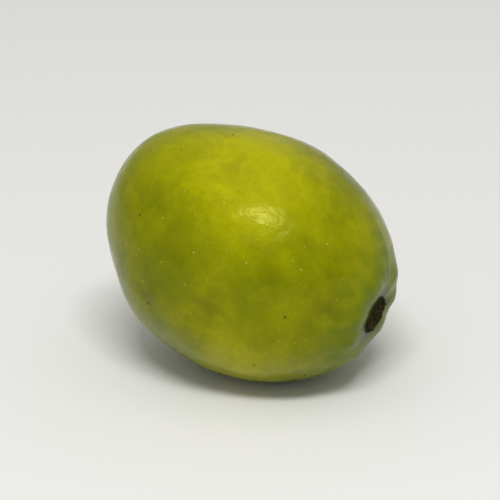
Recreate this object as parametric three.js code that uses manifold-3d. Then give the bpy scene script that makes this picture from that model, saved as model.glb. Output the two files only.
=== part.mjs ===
// An umbu, the fruit of Spondias tuberosa, as picked: one solid fruit lying on its side on a small
// flat spot. Millimetres, +Z up. The stalk scar is at the +X end, turned a little down, and the tip
// with the marks of the five styles is at the -X end. The origin is under the middle of the fruit,
// on the surface it rests on.
import * as THREE from "three";
import { mergeVertices } from "three/addons/utils/BufferGeometryUtils.js";
import Module from "manifold-3d";

// Driving dimensions
const LENGTH = 38.5; // stalk end to tip of the plain oval, before the swellings and the nipple
const DIAMETER = 32.5;
const STEM_DROP = 15; // degrees that the stalk end points below level
const FLAT_DEPTH = 0.6; // how much the resting spot is pressed in

// Broad swellings and flats: where, how high, and how far they spread. The direction is from the
// fruit's middle, in the resting pose.
const SWELLS = [
  { name: "tip shoulder", toward: [-0.8, -0.14, 0.59], height: 2.9, spread: 34 },
  { name: "front heel", toward: [-0.71, -0.58, -0.39], height: 0.7, spread: 34 },
  { name: "back heel", toward: [-0.6, 0.78, -0.2], height: 0.9, spread: 32 },
  { name: "back flat", toward: [0.25, 0.95, 0.1], height: -0.4, spread: 28 },
];

// The basin at the stalk end and the corky scar in it, as radii round the fruit's own axis
const BASIN = { radius: 3.9, depth: 1.4 };
const COLLAR = { radius: 5.9, width: 1.8, height: 0.35, folds: 7, foldDepth: 0.12 };
const SCAR = { radius: 2.6, edge: 0.5, height: 0.5, pitRadius: 0.7, pitDepth: 0.5 };

// The nipple at the far end, with the five small knobs that the styles leave round it
const NIPPLE = { radius: 1.1, height: 0.7 };
const KNOBS = { count: 5, ringRadius: 2.7, radius: 0.62, height: 0.34 };

// Fineness of the mesh
const SIDES = 64;
const RINGS = 52;
const POLE_CROWDING = 0.8; // 0 spaces the rings evenly, towards 1 they crowd at the two ends

const wasm = await Module();
wasm.setup();

const bell = (x, width) => Math.exp(-((x / width) ** 2));

function step(x, middle, width) {
  const t = THREE.MathUtils.clamp((x - middle) / width + 0.5, 0, 1);
  return t * t * (3 - 2 * t);
}

// The fruit's own axis points at the stalk, and the resting pose tips it down
const toResting = new THREE.Matrix4().makeRotationY(THREE.MathUtils.degToRad(STEM_DROP));
const swells = SWELLS.map(({ toward, height, spread }) => ({
  toward: new THREE.Vector3(...toward).normalize(),
  height,
  spread: THREE.MathUtils.degToRad(spread),
}));

// Distance from the middle to the plain oval, for the cosine and sine of the angle from the stalk
function ovalRadius(cosine, sine) {
  return 1 / Math.hypot((2 * cosine) / LENGTH, (2 * sine) / DIAMETER);
}

// Height of the stalk end's basin, its folded collar and the scar, at a distance from the axis
function stemRelief(distance, azimuth) {
  const collar = bell(distance - COLLAR.radius, COLLAR.width);
  const folds = COLLAR.foldDepth * Math.cos(COLLAR.folds * azimuth + Math.sin(2 * azimuth));
  const scar = SCAR.height * step(distance, SCAR.radius, -SCAR.edge);
  return (
    collar * (COLLAR.height + folds) -
    BASIN.depth * bell(distance, BASIN.radius) +
    scar -
    SCAR.pitDepth * bell(distance, SCAR.pitRadius)
  );
}

// Height of the nipple and its ring of knobs, at a distance from the axis
function tipRelief(distance, azimuth) {
  const turn = (2 * Math.PI) / KNOBS.count;
  const fromKnob = (azimuth / turn - Math.round(azimuth / turn)) * turn * KNOBS.ringRadius;
  const knob = bell(Math.hypot(distance - KNOBS.ringRadius, fromKnob), KNOBS.radius);
  return NIPPLE.height * bell(distance, NIPPLE.radius) + KNOBS.height * knob;
}

// A point of the skin, for its angle from the stalk and its azimuth round the axis
function skinPoint(polar, azimuth) {
  const [cosine, sine] = [Math.cos(polar), Math.sin(polar)];
  const direction = new THREE.Vector3(cosine, sine * Math.cos(azimuth), sine * Math.sin(azimuth));
  direction.applyMatrix4(toResting);
  const oval = ovalRadius(cosine, sine);
  const relief = (cosine > 0 ? stemRelief : tipRelief)(oval * sine, azimuth);
  const swell = swells.reduce(
    (sum, s) => sum + s.height * bell(direction.angleTo(s.toward), s.spread),
    0,
  );
  return direction.multiplyScalar(oval + relief + swell);
}

// Angle from the stalk of a ring, given its share of the way: even spacing less a sine crowds the ends
function ringAngle(share) {
  return Math.PI * share - (POLE_CROWDING * Math.sin(2 * Math.PI * share)) / 2;
}

// The whole skin: a unit sphere's grid whose points are put on the fruit. All the points of an end
// ring take one azimuth, so that they are one point.
function skinGeometry() {
  const geometry = new THREE.SphereGeometry(1, SIDES, RINGS);
  const { position, uv } = geometry.attributes;
  for (let i = 0; i < position.count; i += 1) {
    const ring = Math.round((1 - uv.getY(i)) * RINGS);
    const side = ring % RINGS === 0 ? 0 : Math.round(uv.getX(i) * SIDES) % SIDES;
    const { x, y, z } = skinPoint(ringAngle(ring / RINGS), (2 * Math.PI * side) / SIDES);
    position.setXYZ(i, x, y, z);
  }
  geometry.deleteAttribute("normal");
  geometry.deleteAttribute("uv");
  return mergeVertices(geometry);
}

function toSolid(geometry) {
  return new wasm.Manifold(
    new wasm.Mesh({
      numProp: 3,
      vertProperties: new Float32Array(geometry.attributes.position.array),
      triVerts: new Uint32Array(geometry.index.array),
    }),
  );
}

function toGeometry(solid) {
  const mesh = solid.getMesh();
  return new THREE.BufferGeometry()
    .setAttribute("position", new THREE.BufferAttribute(mesh.vertProperties, 3))
    .setIndex(new THREE.BufferAttribute(mesh.triVerts, 1));
}

// Cuts the resting spot flat, FLAT_DEPTH above the lowest point, and stands the fruit on the origin
function fruitGeometry() {
  const skin = skinGeometry();
  skin.computeBoundingBox();
  const slab = new THREE.BoxGeometry(LENGTH, LENGTH, LENGTH);
  slab.translate(0, 0, skin.boundingBox.min.z + FLAT_DEPTH - LENGTH / 2);
  slab.deleteAttribute("normal");
  slab.deleteAttribute("uv");
  const fruit = toGeometry(toSolid(skin).subtract(toSolid(mergeVertices(slab))));
  fruit.computeBoundingBox();
  const middle = fruit.boundingBox.getCenter(new THREE.Vector3());
  fruit.translate(-middle.x, -middle.y, -fruit.boundingBox.min.z);
  fruit.computeVertexNormals();
  return fruit;
}

const ripeSkin = new THREE.MeshStandardMaterial({ color: 0x979a14, roughness: 0.38, metalness: 0 });

const fruit = new THREE.Mesh(fruitGeometry(), ripeSkin);
fruit.name = "umbu_fruit";

const umbu = new THREE.Group();
umbu.name = "umbu";
umbu.add(fruit);

export default umbu;
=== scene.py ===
"""A ripe umbu, the fruit of Spondias tuberosa, lying on its side on a plain pale floor.

The fruit is one fine skin, worked out on a grid of rings and sides round the axis that runs from the
stalk to the tip. It stands for the plain solid of the frame and keeps that solid's size and place. Its
marks, such as the corky scar or a bruise, are kept on the skin's points, and its finish reads them.
"""

import logging
from dataclasses import dataclass, field
from enum import Enum

import bpy
import numpy as np
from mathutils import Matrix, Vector


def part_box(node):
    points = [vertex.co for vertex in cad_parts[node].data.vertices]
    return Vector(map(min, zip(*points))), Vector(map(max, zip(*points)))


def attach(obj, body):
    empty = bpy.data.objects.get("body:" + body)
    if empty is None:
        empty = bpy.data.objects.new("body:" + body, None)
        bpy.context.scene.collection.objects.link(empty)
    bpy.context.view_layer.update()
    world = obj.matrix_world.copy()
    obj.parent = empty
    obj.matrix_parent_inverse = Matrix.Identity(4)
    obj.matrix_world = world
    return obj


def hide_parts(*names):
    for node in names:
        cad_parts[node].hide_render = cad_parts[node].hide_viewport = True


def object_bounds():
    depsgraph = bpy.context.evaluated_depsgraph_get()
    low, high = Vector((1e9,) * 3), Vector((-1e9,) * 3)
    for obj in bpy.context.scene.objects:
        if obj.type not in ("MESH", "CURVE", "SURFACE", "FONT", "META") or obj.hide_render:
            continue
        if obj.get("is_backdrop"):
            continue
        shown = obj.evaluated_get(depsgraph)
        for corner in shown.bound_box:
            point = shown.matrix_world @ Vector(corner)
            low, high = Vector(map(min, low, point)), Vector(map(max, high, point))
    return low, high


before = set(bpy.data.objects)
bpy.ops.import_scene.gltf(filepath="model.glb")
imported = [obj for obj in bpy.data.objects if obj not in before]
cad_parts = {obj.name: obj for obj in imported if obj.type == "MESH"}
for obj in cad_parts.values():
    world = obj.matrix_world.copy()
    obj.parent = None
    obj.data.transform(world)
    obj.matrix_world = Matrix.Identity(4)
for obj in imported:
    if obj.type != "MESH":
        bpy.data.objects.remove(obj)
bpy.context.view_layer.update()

MM = 0.001
FAR = 1.0  # metres, beyond any point of the fruit

Colour = tuple[float, float, float, float]
Direction = tuple[float, float, float]

log = logging.getLogger("umbu")


class Mark(Enum):
    """What is marked on the skin's points, each from nought to one."""

    # ripeness, with painted light on the top and lower front
    RIPENESS_AND_LIGHT = "ripeness"
    SCAR = "scar"
    VEINS = "veins"
    # painted shade in the stalk's basin
    BASIN_SHADE = "basin"
    FLUSH = "flush"
    FIBRES = "fibres"
    TIP = "tip"
    BRUISE = "bruise"
    SCUFF = "scuff"


class Blend(Enum):
    """How one colour is laid on another."""

    COVER = "MIX"
    MULTIPLY = "MULTIPLY"


def colour(code: str) -> Colour:
    """Turn a screen colour code into the light-linear colour that the shader works in.

    Args:
        code: six hexadecimal digits, two for each of red, green and blue.

    Returns:
        Red, green, blue and an alpha of one.
    """
    shown = np.array([int(code[i : i + 2], 16) for i in (0, 2, 4)]) / 255
    linear = np.where(shown <= 0.04045, shown / 12.92, ((shown + 0.055) / 1.055) ** 2.4)
    return (float(linear[0]), float(linear[1]), float(linear[2]), 1.0)


def bell(x: np.ndarray, width: float) -> np.ndarray:
    """Return a smooth bump: the exponential of minus the square of x over its width."""
    return np.exp(-((x / width) ** 2))


def rise(x: np.ndarray, start: float, end: float) -> np.ndarray:
    """Work out a smooth rise: the share t of the way from start to end, as t squared times (3 - 2 t).

    Args:
        x: values to be placed on the rise.
        start: where the rise is nought.
        end: where the rise is one, above or below start.

    Returns:
        Values from nought to one.
    """
    share = np.clip((x - start) / (end - start), 0, 1)
    return share**2 * (3 - 2 * share)


@dataclass(frozen=True)
class Spot:
    """A round area of the skin, seen from the fruit's middle in the resting pose."""

    toward: Direction
    spread: float  # degrees
    height: float = 1.0

    def over(self, heading: np.ndarray) -> np.ndarray:
        """Spread the spot: its height times a bell of the angle from its middle.

        Args:
            heading: unit directions from the fruit's middle, in the last axis.

        Returns:
            The spot's value at each direction.
        """
        middle = np.array(self.toward) / np.linalg.norm(self.toward)
        angle = np.arccos(np.clip(heading @ middle, -1, 1))
        return self.height * bell(angle, np.radians(self.spread))


@dataclass(frozen=True)
class Ripple:
    """An even unevenness of the skin: many plane waves of one length and random heading, summed."""

    wavelength: float
    height: float
    seed: int
    waves: int = 36

    def over(self, points: np.ndarray) -> np.ndarray:
        """Sum the waves: each is the cosine of the point's distance along its heading, plus a phase.

        Args:
            points: places in space, in the last axis.

        Returns:
            The ripple's height at each point, with height as its root mean square.
        """
        random = np.random.default_rng(self.seed)
        heading = random.normal(size=(3, self.waves))
        heading /= np.linalg.norm(heading, axis=0)
        phase = random.uniform(0, 2 * np.pi, self.waves)
        waves = np.cos(2 * np.pi * (points @ heading) / self.wavelength + phase)
        return self.height * np.sqrt(2 / self.waves) * waves.sum(axis=-1)


@dataclass(frozen=True)
class StalkEnd:
    """The basin where the stalk broke off, the folded collar round it and the corky scar in it."""

    basin_radius: float = 3.9 * MM
    basin_depth: float = 1.4 * MM
    collar_radius: float = 5.9 * MM
    collar_width: float = 1.8 * MM
    collar_height: float = 0.35 * MM
    folds: int = 7
    fold_depth: float = 0.12 * MM
    wrinkles: int = 29
    wrinkle_depth: float = 0.014 * MM
    wrinkle_reach: float = 1.6  # of the collar's width
    wrinkle_sway: tuple[float, float] = (2.1, 1.3)  # radians, in threes and in fives round the axis
    scar_radius: float = 2.6 * MM
    scar_edge: float = 0.5 * MM
    scar_height: float = 0.5 * MM
    scar_fade: float = 0.3 * MM  # from full cork to bare skin
    scar_wander: float = 0.4  # how much the scar's edge follows the skin's wandering
    pit_radius: float = 0.7 * MM
    pit_depth: float = 0.5 * MM
    veins: int = 9
    vein_ring: float = 1.5 * MM
    vein_radius: float = 0.17 * MM
    vein_height: float = 0.1 * MM
    shade: float = 0.92  # how dark the painted shade in the basin is
    shade_reach: tuple[float, float] = (4.8 * MM, 2.8 * MM)  # where the painted shade starts and is full
    flush_reach: tuple[float, float] = (13 * MM, 4 * MM)  # where the green starts and is full
    flush_wander: float = 4.0
    fibres: int = 37
    cork: tuple[Ripple, ...] = (
        Ripple(0.9 * MM, 0.05 * MM, seed=11),
        Ripple(0.4 * MM, 0.028 * MM, seed=12),
    )

    def scar(self, distance: np.ndarray) -> np.ndarray:
        """Return the scar's share: one on the cork, falling smoothly to nought past its edge."""
        half_edge = self.scar_edge / 2
        return rise(distance, self.scar_radius + half_edge, self.scar_radius - half_edge)

    def vein(self, distance: np.ndarray, azimuth: np.ndarray) -> np.ndarray:
        """Place the broken veins: a bell of the distance from the nearest of their evenly spaced middles.

        Args:
            distance: from the fruit's own axis.
            azimuth: round that axis.

        Returns:
            One on a vein's middle, falling to nought away from it.
        """
        turn = 2 * np.pi / self.veins
        from_vein = (azimuth / turn - np.round(azimuth / turn)) * turn * self.vein_ring
        return bell(np.hypot(distance - self.vein_ring, from_vein), self.vein_radius)

    def relief(self, distance: np.ndarray, azimuth: np.ndarray, points: np.ndarray) -> np.ndarray:
        """Work out the height of the stalk end above the plain oval.

        The collar is a bell of the distance from its ring, higher and lower by a wave round the axis and
        finely wrinkled by a faster one. The basin is a bell sunk round the axis, and the scar a low
        plateau in it, with a pit in the middle, a ring of broken veins and a corky ripple.

        Args:
            distance: from the fruit's own axis.
            azimuth: round that axis.
            points: the places themselves, for the cork.

        Returns:
            The height at each point.
        """
        collar = bell(distance - self.collar_radius, self.collar_width)
        folds = self.fold_depth * np.cos(self.folds * azimuth + np.sin(2 * azimuth))
        in_threes, in_fives = self.wrinkle_sway
        sway = in_threes * np.sin(3 * azimuth) + in_fives * np.sin(5 * azimuth + 1)
        wrinkles = self.wrinkle_depth * np.cos(self.wrinkles * azimuth + sway)
        wrinkled = bell(distance - self.collar_radius, self.wrinkle_reach * self.collar_width)
        scar = self.scar(distance)
        cork = sum(ripple.over(points) for ripple in self.cork)
        return (
            collar * (self.collar_height + folds)
            + wrinkled * wrinkles
            - self.basin_depth * bell(distance, self.basin_radius)
            + scar * (self.scar_height + cork)
            + self.vein_height * self.vein(distance, azimuth)
            - self.pit_depth * bell(distance, self.pit_radius)
        )


@dataclass(frozen=True)
class TipEnd:
    """The nipple at the fruit's tip and the ring of small knobs that the five styles leave."""

    nipple_radius: float = 1.1 * MM
    nipple_height: float = 0.7 * MM
    knobs: int = 5
    knob_ring: float = 2.7 * MM
    knob_radius: float = 0.62 * MM
    knob_height: float = 0.34 * MM
    brown: float = 0.85  # how brown the nipple is
    brown_reach: tuple[float, float] = (1.5 * MM, 0.6 * MM)  # where the brown starts and is full
    brown_wander: float = 0.5
    knob_brown: float = 0.5

    def knob(self, distance: np.ndarray, azimuth: np.ndarray) -> np.ndarray:
        """Place the knobs: a bell of the distance from the nearest of the evenly spaced middles.

        Args:
            distance: from the fruit's own axis.
            azimuth: round that axis.

        Returns:
            One on a knob's middle, falling to nought away from it.
        """
        turn = 2 * np.pi / self.knobs
        from_knob = (azimuth / turn - np.round(azimuth / turn)) * turn * self.knob_ring
        return bell(np.hypot(distance - self.knob_ring, from_knob), self.knob_radius)

    def relief(self, distance: np.ndarray, azimuth: np.ndarray) -> np.ndarray:
        """Work out the height of the tip end above the plain oval: the nipple's bell and the knobs.

        Args:
            distance: from the fruit's own axis.
            azimuth: round that axis.

        Returns:
            The height at each point.
        """
        nipple = self.nipple_height * bell(distance, self.nipple_radius)
        return nipple + self.knob_height * self.knob(distance, azimuth)


@dataclass(frozen=True)
class Cloud:
    """A cloudy noise in the skin, and the span of values that it is carried to."""

    size: float  # metres across one cloud
    detail: float  # how many finer layers are added
    start: float  # of the noise, where the result is low
    end: float  # of the noise, where the result is high
    low: float = 0.0
    high: float = 1.0
    warp: float = 0.0  # how much the clouds are twisted
    stretch: Direction | None = None  # how much finer along each axis, where it isn't even


@dataclass(frozen=True)
class Dots:
    """Dots scattered over the skin, one to a cell in a share of the cells."""

    pitch: float  # metres across one cell
    radius: float  # metres, of the largest dot
    share: float  # of the cells that have a dot
    strength: float  # how much of the dot's colour shows
    ragged: float = 0.0  # how far a dot's edge wanders, as a share of the pitch
    smallest: float = 0.45  # the smallest dot's radius, as a share of the largest's
    softness: float = 0.3  # the width of a dot's edge, as a share of the largest's radius


@dataclass(frozen=True)
class Grain:
    """A fine relief pressed into the skin."""

    size: float  # metres across one grain
    detail: float
    depth: float


@dataclass
class Bench:
    """A workbench for one material: it lays out shader nodes and joins them."""

    name: str
    material: bpy.types.Material = field(init=False)

    def __post_init__(self) -> None:
        """Start a material whose only nodes are its skin shader and its output."""
        self.material = bpy.data.materials.new(self.name)
        self.material.use_nodes = True
        self.tree = self.material.node_tree
        self.tree.nodes.clear()
        self.shader = self.tree.nodes.new("ShaderNodeBsdfPrincipled")
        output = self.tree.nodes.new("ShaderNodeOutputMaterial")
        self.tree.links.new(self.shader.outputs["BSDF"], output.inputs["Surface"])
        self.place = self.tree.nodes.new("ShaderNodeTexCoord").outputs["Object"]

    def feed(self, socket: bpy.types.NodeSocket, value: object) -> None:
        """Give a socket its value, by a link where the value is another node's output.

        Args:
            socket: the input to feed.
            value: an output socket, a number, a colour or a vector.
        """
        if isinstance(value, bpy.types.NodeSocket):
            self.tree.links.new(value, socket)
        else:
            socket.default_value = value

    def mark(self, mark: Mark) -> bpy.types.NodeSocket:
        """Read a mark that is kept on the skin's points.

        Args:
            mark: which one.

        Returns:
            Its value as an output socket.
        """
        node = self.tree.nodes.new("ShaderNodeAttribute")
        node.attribute_name = mark.value
        return node.outputs["Fac"]

    def sum(self, how: str, first: object, second: object = 0.0) -> bpy.types.NodeSocket:
        """Do a sum with one or two values.

        Args:
            how: the name of the sum, such as ADD or MULTIPLY.
            first: a socket or a number.
            second: a socket or a number.

        Returns:
            The result as an output socket.
        """
        node = self.tree.nodes.new("ShaderNodeMath")
        node.operation = how
        self.feed(node.inputs[0], first)
        self.feed(node.inputs[1], second)
        return node.outputs["Value"]

    def span(
        self, value: bpy.types.NodeSocket, start: float, end: float, low: float = 0.0, high: float = 1.0
    ) -> bpy.types.NodeSocket:
        """Carry a value smoothly from one span to another.

        Args:
            value: what is carried.
            start: where the result is low, and stays so before it.
            end: where the result is high, and stays so past it.
            low: the result at start.
            high: the result at end.

        Returns:
            The result as an output socket.
        """
        node = self.tree.nodes.new("ShaderNodeMapRange")
        node.interpolation_type = "SMOOTHSTEP"
        for socket, given in zip(node.inputs, (value, start, end, low, high)):
            self.feed(socket, given)
        return node.outputs["Result"]

    def noise(
        self, size: float, detail: float = 3.0, warp: float = 0.0, stretch: Direction | None = None
    ) -> bpy.types.NodeSocket:
        """Lay out a cloudy noise.

        Args:
            size: across one cloud, in metres.
            detail: how many finer layers are added.
            warp: how much the clouds are twisted.
            stretch: how much finer the noise is along each axis, where it isn't even.

        Returns:
            The noise, round a half, as an output socket.
        """
        node = self.tree.nodes.new("ShaderNodeTexNoise")
        place = self.place
        if stretch is not None:
            mapping = self.tree.nodes.new("ShaderNodeMapping")
            mapping.inputs["Scale"].default_value = stretch
            self.feed(mapping.inputs["Vector"], place)
            place = mapping.outputs["Vector"]
        self.feed(node.inputs["Vector"], place)
        node.inputs["Scale"].default_value = 1 / size
        node.inputs["Detail"].default_value = detail
        node.inputs["Distortion"].default_value = warp
        return node.outputs["Fac"]

    def cloud(self, cloud: Cloud) -> bpy.types.NodeSocket:
        """Lay out a cloudy noise and carry it to its span of values.

        Args:
            cloud: its size, shape and span.

        Returns:
            The carried noise as an output socket.
        """
        noise = self.noise(cloud.size, cloud.detail, cloud.warp, cloud.stretch)
        return self.span(noise, cloud.start, cloud.end, cloud.low, cloud.high)

    def dots(self, dots: Dots) -> bpy.types.NodeSocket:
        """Scatter dots: one to a cell, in a share of the cells, each of its own size.

        Args:
            dots: their spacing, sizes and edges.

        Returns:
            One on a dot and nought off it, as an output socket.
        """
        node = self.tree.nodes.new("ShaderNodeTexVoronoi")
        place = self.place
        if dots.ragged:
            wander = self.tree.nodes.new("ShaderNodeTexNoise")
            wander.inputs["Scale"].default_value = 1 / (2 * dots.radius)
            self.feed(wander.inputs["Vector"], place)
            shift = self.tree.nodes.new("ShaderNodeMixRGB")
            shift.blend_type = "LINEAR_LIGHT"
            shift.inputs["Fac"].default_value = dots.ragged * dots.pitch
            self.feed(shift.inputs["Color1"], place)
            self.feed(shift.inputs["Color2"], wander.outputs["Color"])
            place = shift.outputs["Color"]
        self.feed(node.inputs["Vector"], place)
        node.inputs["Scale"].default_value = 1 / dots.pitch
        chance = self.tree.nodes.new("ShaderNodeSeparateColor")
        self.feed(chance.inputs["Color"], node.outputs["Color"])
        largest = dots.radius / dots.pitch
        size = self.span(chance.outputs["Green"], 0.0, 1.0, dots.smallest * largest, largest)
        inside = self.sum("SUBTRACT", size, node.outputs["Distance"])
        dot = self.span(inside, 0.0, dots.softness * largest)
        chosen = self.sum("LESS_THAN", chance.outputs["Red"], dots.share)
        return self.sum("MULTIPLY", dot, chosen)

    def lay(
        self, under: object, over: object, amount: object, how: Blend = Blend.COVER
    ) -> bpy.types.NodeSocket:
        """Lay one colour on another.

        Args:
            under: the colour below, as a socket or a colour.
            over: the colour laid on it, as a socket or a colour.
            amount: how much of it shows, as a socket or a number.
            how: the way it is laid.

        Returns:
            The mixed colour as an output socket.
        """
        node = self.tree.nodes.new("ShaderNodeMixRGB")
        node.blend_type = how.value
        self.feed(node.inputs["Fac"], amount)
        self.feed(node.inputs["Color1"], under)
        self.feed(node.inputs["Color2"], over)
        return node.outputs["Color"]

    def ramp(self, value: bpy.types.NodeSocket, stops: dict[float, Colour]) -> bpy.types.NodeSocket:
        """Read a colour off a scale.

        Args:
            value: where on the scale, from nought to one.
            stops: the colour at each place that has one.

        Returns:
            The colour as an output socket.
        """
        node = self.tree.nodes.new("ShaderNodeValToRGB")
        scale = node.color_ramp
        scale.interpolation = "B_SPLINE"
        while len(scale.elements) < len(stops):
            scale.elements.new(0.5)
        for element, (position, shade) in zip(scale.elements, sorted(stops.items())):
            element.position = position
            element.color = shade
        self.feed(node.inputs["Fac"], value)
        return node.outputs["Color"]

    def bump(
        self, height: bpy.types.NodeSocket, depth: float, below: bpy.types.NodeSocket | None = None
    ) -> bpy.types.NodeSocket:
        """Press a relief into the surface's shading.

        Args:
            height: the relief, from nought to one.
            depth: how high one is, in metres.
            below: an earlier relief that this one is added to.

        Returns:
            The normal as an output socket.
        """
        node = self.tree.nodes.new("ShaderNodeBump")
        node.inputs["Distance"].default_value = depth
        self.feed(node.inputs["Height"], height)
        if below is not None:
            self.feed(node.inputs["Normal"], below)
        return node.outputs["Normal"]


@dataclass(frozen=True)
class RipeSkin:
    """The finish of a ripe umbu: thin waxy skin, yellow where the sun was and as painted light on the top
    and lower front, greener by the stalk, with painted shade in the stalk's basin.
    """

    ripest: str = "b0ad02"
    ripe: str = "8c8f02"
    turning: str = "737a02"
    unripe: str = "4f6603"
    ripest_at: float = 0.95
    ripe_at: float = 0.6
    turning_at: float = 0.3
    mottle: str = "c9cc9a"
    fine_mottle: str = "b8bf88"
    pale_dot: str = "c9c463"
    green_dot: str = "6a7a0a"
    speck: str = "33220b"
    scuff: str = "7d7030"
    bruise: str = "6c6c0a"
    fibre: str = "4f7210"
    cork: str = "0a0703"
    cork_high: str = "3c2b15"
    vein: str = "6b5532"
    # painted shade for the basin round the stalk scar
    basin: str = "2a3006"
    tip: str = "4c3912"

    clouds: Cloud = Cloud(9 * MM, 4.0, 0.3, 0.7, -0.12, 0.12, warp=0.6)
    small_clouds: Cloud = Cloud(1.8 * MM, 3.0, 0.3, 0.7, -0.04, 0.04)
    mottling: Cloud = Cloud(4.5 * MM, 4.0, 0.4, 0.7, high=0.36, warp=0.4)
    fine_mottling: Cloud = Cloud(0.6 * MM, 2.0, 0.35, 0.75, high=0.16)
    bruise_edges: Cloud = Cloud(2.2 * MM, 4.0, 0.35, 0.62, warp=0.8)
    scuff_streaks: Cloud = Cloud(2.6 * MM, 5.0, 0.56, 0.64, warp=0.5, stretch=(1.0, 4.5, 3.0))
    cork_crumbs: Cloud = Cloud(0.55 * MM, 4.0, 0.45, 0.62)
    tip_wear: Cloud = Cloud(0.8 * MM, 4.0, 0.32, 0.6, low=0.25, warp=0.5)
    wax: Cloud = Cloud(3.5 * MM, 4.0, 0.3, 0.7, low=0.14, high=0.26)

    green_dots: Dots = Dots(0.9 * MM, 0.22 * MM, share=0.6, strength=0.3)
    pale_dots: Dots = Dots(1.0 * MM, 0.17 * MM, share=0.5, strength=0.42)
    specks: Dots = Dots(2.4 * MM, 0.3 * MM, share=0.16, strength=0.75, ragged=0.12)

    leather: Grain = Grain(1.1 * MM, 3.0, 0.06 * MM)
    pores: Grain = Grain(0.32 * MM, 2.0, 0.018 * MM)
    crumbs: Grain = Grain(0.35 * MM, 4.0, 0.25 * MM)
    dot_depth: float = 0.015 * MM

    bruise_strength: float = 0.75
    flush_strength: float = 0.6
    fibre_strength: float = 0.3
    crumb_strength: float = 0.6
    vein_strength: float = 0.55

    cork_roughness: float = 0.88
    scuff_dullness: float = 0.5
    flush_dullness: float = 0.2

    refraction: float = 1.31
    glint: Colour = (1.0, 0.97, 0.26, 1.0)
    glow: float = 0.12
    glow_reach: Direction = (1.0, 0.8, 0.15)  # of red, green and blue, against the depth
    glow_depth: float = 1.2 * MM

    def skin_colour(self, bench: Bench) -> bpy.types.NodeSocket:
        """Mix the skin's colour: its ripeness, partly painted light on the top and lower front, blurred
        by clouds, then mottled at two scales.

        Args:
            bench: where the nodes are laid out.

        Returns:
            The colour as an output socket.
        """
        clouds = bench.sum("ADD", bench.cloud(self.clouds), bench.cloud(self.small_clouds))
        # ripeness, partly painted light that lightens the top and lower front
        ripeness = bench.sum("ADD", bench.mark(Mark.RIPENESS_AND_LIGHT), clouds)
        stops = {
            0.0: colour(self.unripe),
            self.turning_at: colour(self.turning),
            self.ripe_at: colour(self.ripe),
            self.ripest_at: colour(self.ripest),
        }
        skin = bench.ramp(ripeness, stops)
        skin = bench.lay(skin, colour(self.mottle), bench.cloud(self.mottling), Blend.MULTIPLY)
        fine = bench.cloud(self.fine_mottling)
        return bench.lay(skin, colour(self.fine_mottle), fine, Blend.MULTIPLY)

    def dotted(self, bench: Bench, skin: bpy.types.NodeSocket) -> bpy.types.NodeSocket:
        """Add the pale breathing pores, the faint green dots and a few brown specks.

        Args:
            bench: where the nodes are laid out.
            skin: the colour so far.

        Returns:
            The colour with its dots.
        """
        layers = (
            (self.green_dots, self.green_dot),
            (self.pale_dots, self.pale_dot),
            (self.specks, self.speck),
        )
        for dots, shade in layers:
            amount = bench.sum("MULTIPLY", bench.dots(dots), dots.strength)
            skin = bench.lay(skin, colour(shade), amount)
        return skin

    def weathered(self, bench: Bench, skin: bpy.types.NodeSocket) -> bpy.types.NodeSocket:
        """Add the soft olive bruises and the dry scuffs, both broken up by a noise.

        Args:
            bench: where the nodes are laid out.
            skin: the colour so far.

        Returns:
            The colour with its wear.
        """
        bruise = bench.sum("MULTIPLY", bench.mark(Mark.BRUISE), bench.cloud(self.bruise_edges))
        amount = bench.sum("MULTIPLY", bruise, self.bruise_strength)
        skin = bench.lay(skin, colour(self.bruise), amount)
        return bench.lay(skin, colour(self.scuff), self.scuffs(bench))

    def scuffs(self, bench: Bench) -> bpy.types.NodeSocket:
        """Draw the scuffs: thin drawn-out clouds, only where the skin is marked as scuffed.

        Args:
            bench: where the nodes are laid out.

        Returns:
            One on a scuff and nought off it.
        """
        return bench.sum("MULTIPLY", bench.cloud(self.scuff_streaks), bench.mark(Mark.SCUFF))

    def ends(self, bench: Bench, skin: bpy.types.NodeSocket) -> bpy.types.NodeSocket:
        """Colour the two ends: green fibres, painted shade in the basin and dark cork at the stalk, a
        brown tip at the other.

        Args:
            bench: where the nodes are laid out.
            skin: the colour so far.

        Returns:
            The colour with its ends.
        """
        flush = bench.mark(Mark.FLUSH)
        fibres = bench.sum("MULTIPLY", bench.mark(Mark.FIBRES), flush)
        amount = bench.sum("MULTIPLY", flush, self.flush_strength)
        skin = bench.lay(skin, colour(self.unripe), amount)
        amount = bench.sum("MULTIPLY", fibres, self.fibre_strength)
        skin = bench.lay(skin, colour(self.fibre), amount)
        # painted shade: the basin round the scar darkened as the recess is in shade
        skin = bench.lay(skin, colour(self.basin), bench.mark(Mark.BASIN_SHADE))
        amount = bench.sum("MULTIPLY", bench.cloud(self.cork_crumbs), self.crumb_strength)
        cork = bench.lay(colour(self.cork), colour(self.cork_high), amount)
        amount = bench.sum("MULTIPLY", bench.mark(Mark.VEINS), self.vein_strength)
        cork = bench.lay(cork, colour(self.vein), amount)
        skin = bench.lay(skin, cork, bench.mark(Mark.SCAR))
        amount = bench.sum("MULTIPLY", bench.mark(Mark.TIP), bench.cloud(self.tip_wear))
        return bench.lay(skin, colour(self.tip), amount)

    def roughness(self, bench: Bench) -> bpy.types.NodeSocket:
        """Work out how dull the skin is: waxy, a little uneven, duller on cork, tip and scuffs.

        Args:
            bench: where the nodes are laid out.

        Returns:
            The roughness as an output socket.
        """
        wax = bench.cloud(self.wax)
        scuffs = bench.sum("MULTIPLY", self.scuffs(bench), self.scuff_dullness)
        flush = bench.sum("MULTIPLY", bench.mark(Mark.FLUSH), self.flush_dullness)
        dull = bench.sum("MAXIMUM", bench.mark(Mark.SCAR), bench.mark(Mark.TIP))
        dull = bench.sum("MAXIMUM", bench.sum("MAXIMUM", dull, scuffs), flush)
        rough = bench.sum("MULTIPLY", bench.sum("SUBTRACT", self.cork_roughness, wax), dull)
        return bench.sum("ADD", wax, rough)

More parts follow.
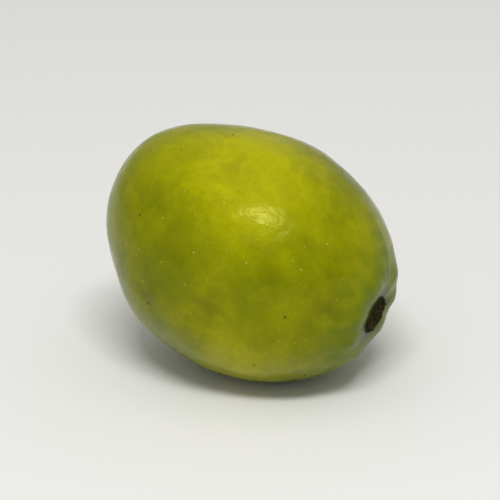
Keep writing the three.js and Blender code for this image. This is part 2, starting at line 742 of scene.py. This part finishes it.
    def relief(self, bench: Bench) -> bpy.types.NodeSocket:
        """Press in the finest relief: a leathery grain, the pores' dots and the crumbly cork.

        Args:
            bench: where the nodes are laid out.

        Returns:
            The normal as an output socket.
        """
        normal = None
        for grain in (self.leather, self.pores):
            normal = bench.bump(bench.noise(grain.size, grain.detail), grain.depth, normal)
        normal = bench.bump(bench.dots(self.pale_dots), self.dot_depth, normal)
        crumbs = bench.noise(self.crumbs.size, self.crumbs.detail)
        cork = bench.sum("MULTIPLY", crumbs, bench.mark(Mark.SCAR))
        return bench.bump(cork, self.crumbs.depth, normal)

    def material(self) -> bpy.types.Material:
        """Put the finish together.

        Returns:
            The material.
        """
        bench = Bench("ripe_skin")
        skin = self.dotted(bench, self.skin_colour(bench))
        skin = self.ends(bench, self.weathered(bench, skin))
        shader = bench.shader
        bench.feed(shader.inputs["Base Color"], skin)
        bench.feed(shader.inputs["Roughness"], self.roughness(bench))
        bench.feed(shader.inputs["Normal"], self.relief(bench))
        shader.inputs["IOR"].default_value = self.refraction
        shader.inputs["Specular Tint"].default_value = self.glint
        shader.inputs["Subsurface Weight"].default_value = self.glow
        shader.inputs["Subsurface Radius"].default_value = self.glow_reach
        shader.inputs["Subsurface Scale"].default_value = self.glow_depth
        return bench.material


@dataclass
class UmbuFruit:
    """The whole fruit: one skin from the stalk scar to the tip, pressed flat where it rests."""

    node: str = "umbu_fruit"
    slot: str = "ripe_skin"
    length: float = 38.5 * MM
    diameter: float = 32.5 * MM
    stem_drop: float = 15.0  # degrees that the stalk end points below level
    flat_depth: float = 0.6 * MM
    flat_edge: float = 0.05 * MM
    stalk_end: StalkEnd = StalkEnd()
    tip_end: TipEnd = TipEnd()
    finish: RipeSkin = RipeSkin()
    sides: int = 352
    rings: int = 276
    end_crowding: float = 0.65
    swells: tuple[Spot, ...] = (
        Spot((-0.8, -0.14, 0.59), 34, 2.9 * MM),
        Spot((-0.71, -0.58, -0.39), 34, 0.7 * MM),
        Spot((-0.6, 0.78, -0.2), 32, 0.9 * MM),
        Spot((0.25, 0.95, 0.1), 28, -0.4 * MM),
    )
    dents: tuple[Spot, ...] = (
        Spot((0.06, -0.98, -0.1), 7, -0.12 * MM),
        Spot((0.82, -0.5, -0.05), 6, -0.1 * MM),
        Spot((-0.3, 0.9, 0.3), 8, -0.15 * MM),
    )
    ripples: tuple[Ripple, ...] = (
        Ripple(9 * MM, 0.06 * MM, seed=1),
        Ripple(3.4 * MM, 0.014 * MM, seed=2),
        Ripple(1.4 * MM, 0.004 * MM, seed=3),
    )
    # yellow bells, partly sun ripening and partly painted light: the first lightens the top, the second
    # the lower front
    sunned_and_lit: tuple[Spot, ...] = (
        Spot((0.18, -0.3, 0.92), 64, 0.66),
        Spot((0.33, -0.82, -0.46), 24, 0.46),
    )
    ripeness: float = 0.24  # where no bell of sun or painted light falls
    ripeness_drift: Ripple = Ripple(22 * MM, 0.09, seed=22)
    edge_wander: Ripple = Ripple(2.4 * MM, 0.22 * MM, seed=21)  # of the rings round the two ends
    bruises: tuple[Spot, ...] = (
        Spot((0.05, -1.0, -0.06), 13, 0.9),
        Spot((0.85, -0.52, -0.04), 10, 0.9),
        Spot((0.0, -0.38, 0.93), 7, 0.45),
        Spot((-0.5, 0.8, 0.3), 14, 0.8),
        Spot((0.4, 0.75, -0.5), 12, 0.7),
    )
    scuffed: tuple[Spot, ...] = (
        Spot((-0.95, -0.2, -0.25), 22, 0.55),
        Spot((-0.2, 0.95, 0.2), 20, 0.6),
        Spot((0.5, 0.4, 0.75), 12, 0.5),
    )

    def grid(self) -> tuple[np.ndarray, np.ndarray]:
        """Space the rings and sides. The rings' angle from the stalk is even, less a sine that crowds
        them at the two ends, and the sides are even round the axis.

        Returns:
            The angle from the stalk as a column and the azimuth as a row.
        """
        share = np.linspace(0, 1, self.rings + 1)[:, None]
        polar = np.pi * share - self.end_crowding * np.sin(2 * np.pi * share) / 2
        azimuth = np.arange(self.sides)[None, :] * 2 * np.pi / self.sides
        return polar, azimuth

    def headings(self, polar: np.ndarray, azimuth: np.ndarray) -> np.ndarray:
        """Point from the fruit's middle, with its own axis tipped down at the stalk by a turn about Y.

        Args:
            polar: angle from the stalk.
            azimuth: round the axis.

        Returns:
            Unit directions in the resting pose, in the last axis.
        """
        along = np.cos(polar) + 0 * azimuth
        across = np.sin(polar) * np.cos(azimuth)
        up = np.sin(polar) * np.sin(azimuth)
        drop = np.radians(self.stem_drop)
        x = along * np.cos(drop) + up * np.sin(drop)
        z = up * np.cos(drop) - along * np.sin(drop)
        return np.stack([x, across, z], axis=-1)

    def skin(self) -> tuple[np.ndarray, dict[Mark, np.ndarray]]:
        """Work out the skin. A point's distance from the middle is a plain oval's, one over the length
        of (2 cos / length, 2 sin / diameter), plus its end's relief and every swelling, dent and ripple.

        Returns:
            The points of the grid, and the marks on them.
        """
        polar, azimuth = self.grid()
        heading = self.headings(polar, azimuth)
        oval = 1 / np.hypot(2 * np.cos(polar) / self.length, 2 * np.sin(polar) / self.diameter)
        plain = heading * (oval + 0 * azimuth)[..., None]
        distance = oval * np.sin(polar) + 0 * azimuth
        azimuth = azimuth + 0 * polar
        at_stalk = self.stalk_end.relief(distance, azimuth, plain)
        at_tip = self.tip_end.relief(distance, azimuth)
        height = np.where(np.cos(polar) > 0, at_stalk, at_tip)
        height = height + sum(spot.over(heading) for spot in self.swells + self.dents)
        height = height + sum(ripple.over(plain) for ripple in self.ripples)
        points = plain + heading * height[..., None]
        near_stalk = np.where(np.cos(polar) > 0, distance, FAR)
        near_tip = np.where(np.cos(polar) < 0, distance, FAR)
        marks = self.marks(heading, plain, near_stalk, near_tip, azimuth)
        return self.settled(points), marks

    def marks(
        self,
        heading: np.ndarray,
        plain: np.ndarray,
        near_stalk: np.ndarray,
        near_tip: np.ndarray,
        azimuth: np.ndarray,
    ) -> dict[Mark, np.ndarray]:
        """Mark the skin: rings round each end as smooth rises of the distance from the axis, spots as
        bells, and ripeness as bells of sun ripening and of painted light on the top and lower front,
        with a slow ripple on them. The basin's mark is painted shade.

        Args:
            heading: unit directions from the fruit's middle.
            plain: points of the plain oval.
            near_stalk: distance from the axis on the stalk's half, and far on the other.
            near_tip: distance from the axis on the tip's half, and far on the other.
            azimuth: round the axis.

        Returns:
            Each mark's value on the grid.
        """
        stalk, tip = self.stalk_end, self.tip_end
        wander = self.edge_wander.over(plain)
        # ripeness with painted light: these bells lighten the top and lower front
        ripeness = self.ripeness + sum(spot.over(heading) for spot in self.sunned_and_lit)
        sway = 3 * np.sin(4 * azimuth) + 2 * np.sin(7 * azimuth + 1)
        full = stalk.scar_radius
        nipple = tip.brown * rise(near_tip + tip.brown_wander * wander, *tip.brown_reach)
        return {
            Mark.RIPENESS_AND_LIGHT: ripeness + self.ripeness_drift.over(plain),
            Mark.SCAR: rise(near_stalk + stalk.scar_wander * wander, full + stalk.scar_fade, full),
            Mark.VEINS: stalk.vein(near_stalk, azimuth),
            # painted shade in the basin round the scar
            Mark.BASIN_SHADE: stalk.shade * rise(near_stalk + wander, *stalk.shade_reach),
            Mark.FLUSH: rise(near_stalk + stalk.flush_wander * wander, *stalk.flush_reach),
            Mark.FIBRES: 0.5 + 0.5 * np.cos(stalk.fibres * azimuth + sway),
            Mark.TIP: np.maximum(nipple, tip.knob_brown * tip.knob(near_tip, azimuth)),
            Mark.BRUISE: np.clip(sum(spot.over(heading) for spot in self.bruises), 0, 1),
            Mark.SCUFF: np.clip(sum(spot.over(heading) for spot in self.scuffed), 0, 1),
        }

    def settled(self, points: np.ndarray) -> np.ndarray:
        """Press the resting spot flat and put the fruit into its box in the frame. Heights above the
        flat h become w log(1 + exp(h / w)), which is flat below, unchanged above and round between.

        Args:
            points: the skin about the fruit's middle.

        Returns:
            The skin in the frame, stretched by a hair to the solid's own box.
        """
        flat = points[..., 2].min() + self.flat_depth
        above = np.logaddexp(0, (points[..., 2] - flat) / self.flat_edge) * self.flat_edge
        points = np.concatenate([points[..., :2], above[..., None]], axis=-1)
        low, high = (np.array(corner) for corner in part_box(self.node))
        own_low = points.reshape(-1, 3).min(axis=0)
        own_high = points.reshape(-1, 3).max(axis=0)
        return low + (points - own_low) * (high - low) / (own_high - own_low)

    def joined(self, grid: np.ndarray) -> np.ndarray:
        """Return the grid as a list of points, with each end ring as one point."""
        inner = grid[1:-1].reshape(-1, *grid.shape[2:])
        return np.concatenate([grid[:1, 0], inner, grid[-1:, 0]])

    def faces(self) -> list[list[int]]:
        """Join the points: a square between each two rings and sides, and a fan at each end.

        Returns:
            The faces as lists of point numbers, with their outer side outwards.
        """
        side = np.arange(self.sides)
        after = (side + 1) % self.sides
        ring = 1 + self.sides * np.arange(self.rings - 2)[:, None]
        below = ring + self.sides
        squares = np.stack([ring + side, below + side, below + after, ring + after], -1)
        last = 1 + self.sides * (self.rings - 1)
        start = np.stack([0 * side, 1 + side, 1 + after], -1)
        inner = last - self.sides
        end = np.stack([last + 0 * side, inner + after, inner + side], -1)
        return start.tolist() + squares.reshape(-1, 4).tolist() + end.tolist()

    def build(self) -> bpy.types.Object:
        """Make the skin's mesh, smooth and with its marks, and dress it in its finish.

        Returns:
            The fruit, standing for its solid in the frame.
        """
        grid, marks = self.skin()
        mesh = bpy.data.meshes.new("umbu_skin")
        mesh.from_pydata(self.joined(grid).tolist(), [], self.faces())
        mesh.shade_smooth()
        for mark, values in marks.items():
            layer = mesh.attributes.new(mark.value, "FLOAT", "POINT")
            layer.data.foreach_set("value", self.joined(values).astype(np.float32))
        mesh.materials.append(self.finish.material())
        fruit = bpy.data.objects.new("umbu_skin", mesh)
        bpy.context.scene.collection.objects.link(fruit)
        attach(fruit, "root")
        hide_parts(self.node)
        return fruit


@dataclass(frozen=True)
class Softbox:
    """A soft studio light, placed round the fruit and turned to it."""

    name: str
    azimuth: float  # degrees, from the front towards the stalk end's side
    elevation: float  # degrees above level
    distance: float
    width: float
    height: float
    power: float

    def build(self, target: Vector) -> bpy.types.Object:
        """Hang the light.

        Args:
            target: what it is turned to.

        Returns:
            The light.
        """
        data = bpy.data.lights.new(self.name, "AREA")
        data.shape = "RECTANGLE"
        data.size = self.width
        data.size_y = self.height
        data.energy = self.power
        light = bpy.data.objects.new(self.name, data)
        back = round_about(self.azimuth, self.elevation)
        light.location = target + back * self.distance
        light.rotation_euler = (-back).to_track_quat("-Z", "Y").to_euler()
        light.visible_camera = False
        bpy.context.scene.collection.objects.link(light)
        return light


def round_about(azimuth: float, elevation: float) -> Vector:
    """Point from the fruit to a place round it.

    Args:
        azimuth: degrees, nought in front, on the side of -Y, and ninety on the side of +X.
        elevation: degrees above level.

    Returns:
        A unit direction.
    """
    across, up = np.radians([azimuth, elevation])
    return Vector((np.sin(across) * np.cos(up), -np.cos(across) * np.cos(up), np.sin(up)))


@dataclass
class Studio:
    """The pale floor, the soft lights and the camera."""

    floor_size: float = 12.0
    floor_colour: str = "eeeeec"
    floor_roughness: float = 0.9
    floor_shine: float = 0.1
    air_colour: Colour = (1.0, 0.99, 0.96, 1.0)
    air_strength: float = 0.38
    camera_azimuth: float = 28.5
    camera_elevation: float = 24.0
    camera_distance: float = 0.37
    camera_lens: float = 200.0
    lights: tuple[Softbox, ...] = (
        Softbox("key_softbox", 30, 60, 0.7, 0.34, 0.12, 2.9),
        Softbox("top_softbox", 10, 86, 1.7, 1.5, 1.5, 3.6),
        Softbox("front_fill", -20, 18, 1.2, 0.8, 0.6, 0.3),
    )

    def floor(self) -> bpy.types.Object:
        """Lay the plain floor, which isn't part of the fruit.

        Returns:
            The floor.
        """
        half = self.floor_size / 2
        corners = [(-half, -half, 0), (half, -half, 0), (half, half, 0), (-half, half, 0)]
        mesh = bpy.data.meshes.new("studio_floor")
        mesh.from_pydata(corners, [], [(0, 1, 2, 3)])
        bench = Bench("studio_floor")
        bench.shader.inputs["Base Color"].default_value = colour(self.floor_colour)
        bench.shader.inputs["Roughness"].default_value = self.floor_roughness
        bench.shader.inputs["Specular IOR Level"].default_value = self.floor_shine
        mesh.materials.append(bench.material)
        floor = bpy.data.objects.new("studio_floor", mesh)
        bpy.context.scene.collection.objects.link(floor)
        floor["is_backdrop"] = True
        return floor

    def air(self) -> bpy.types.World:
        """Fill the room with an even pale light.

        Returns:
            The world.
        """
        world = bpy.data.worlds.new("studio_air")
        world.use_nodes = True
        light = world.node_tree.nodes["Background"]
        light.inputs["Color"].default_value = self.air_colour
        light.inputs["Strength"].default_value = self.air_strength
        bpy.context.scene.world = world
        return world

    def camera(self, target: Vector) -> bpy.types.Object:
        """Stand the camera round the fruit and turn it to its middle.

        Args:
            target: the fruit's middle.

        Returns:
            The camera.
        """
        data = bpy.data.cameras.new("studio_camera")
        data.lens = self.camera_lens
        camera = bpy.data.objects.new("studio_camera", data)
        back = round_about(self.camera_azimuth, self.camera_elevation)
        camera.location = target + back * self.camera_distance
        camera.rotation_euler = (-back).to_track_quat("-Z", "Y").to_euler()
        bpy.context.scene.collection.objects.link(camera)
        bpy.context.scene.camera = camera
        return camera

    def build(self, target: Vector) -> None:
        """Set up the whole studio round the fruit.

        Args:
            target: the fruit's middle.
        """
        self.floor()
        self.air()
        self.camera(target)
        for light in self.lights:
            light.build(target)
        bpy.context.scene.view_settings.view_transform = "Standard"


def main() -> None:
    """Build the fruit and its studio."""
    logging.basicConfig(level=logging.INFO, format="%(name)s: %(message)s")
    umbu = UmbuFruit()
    fruit = umbu.build()
    log.info("%s: %d faces, for %s", fruit.name, len(fruit.data.polygons), umbu.node)
    low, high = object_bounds()
    Studio().build((low + high) / 2)
    log.info("studio: floor, lights and camera")


if __name__ == "__main__":
    main()
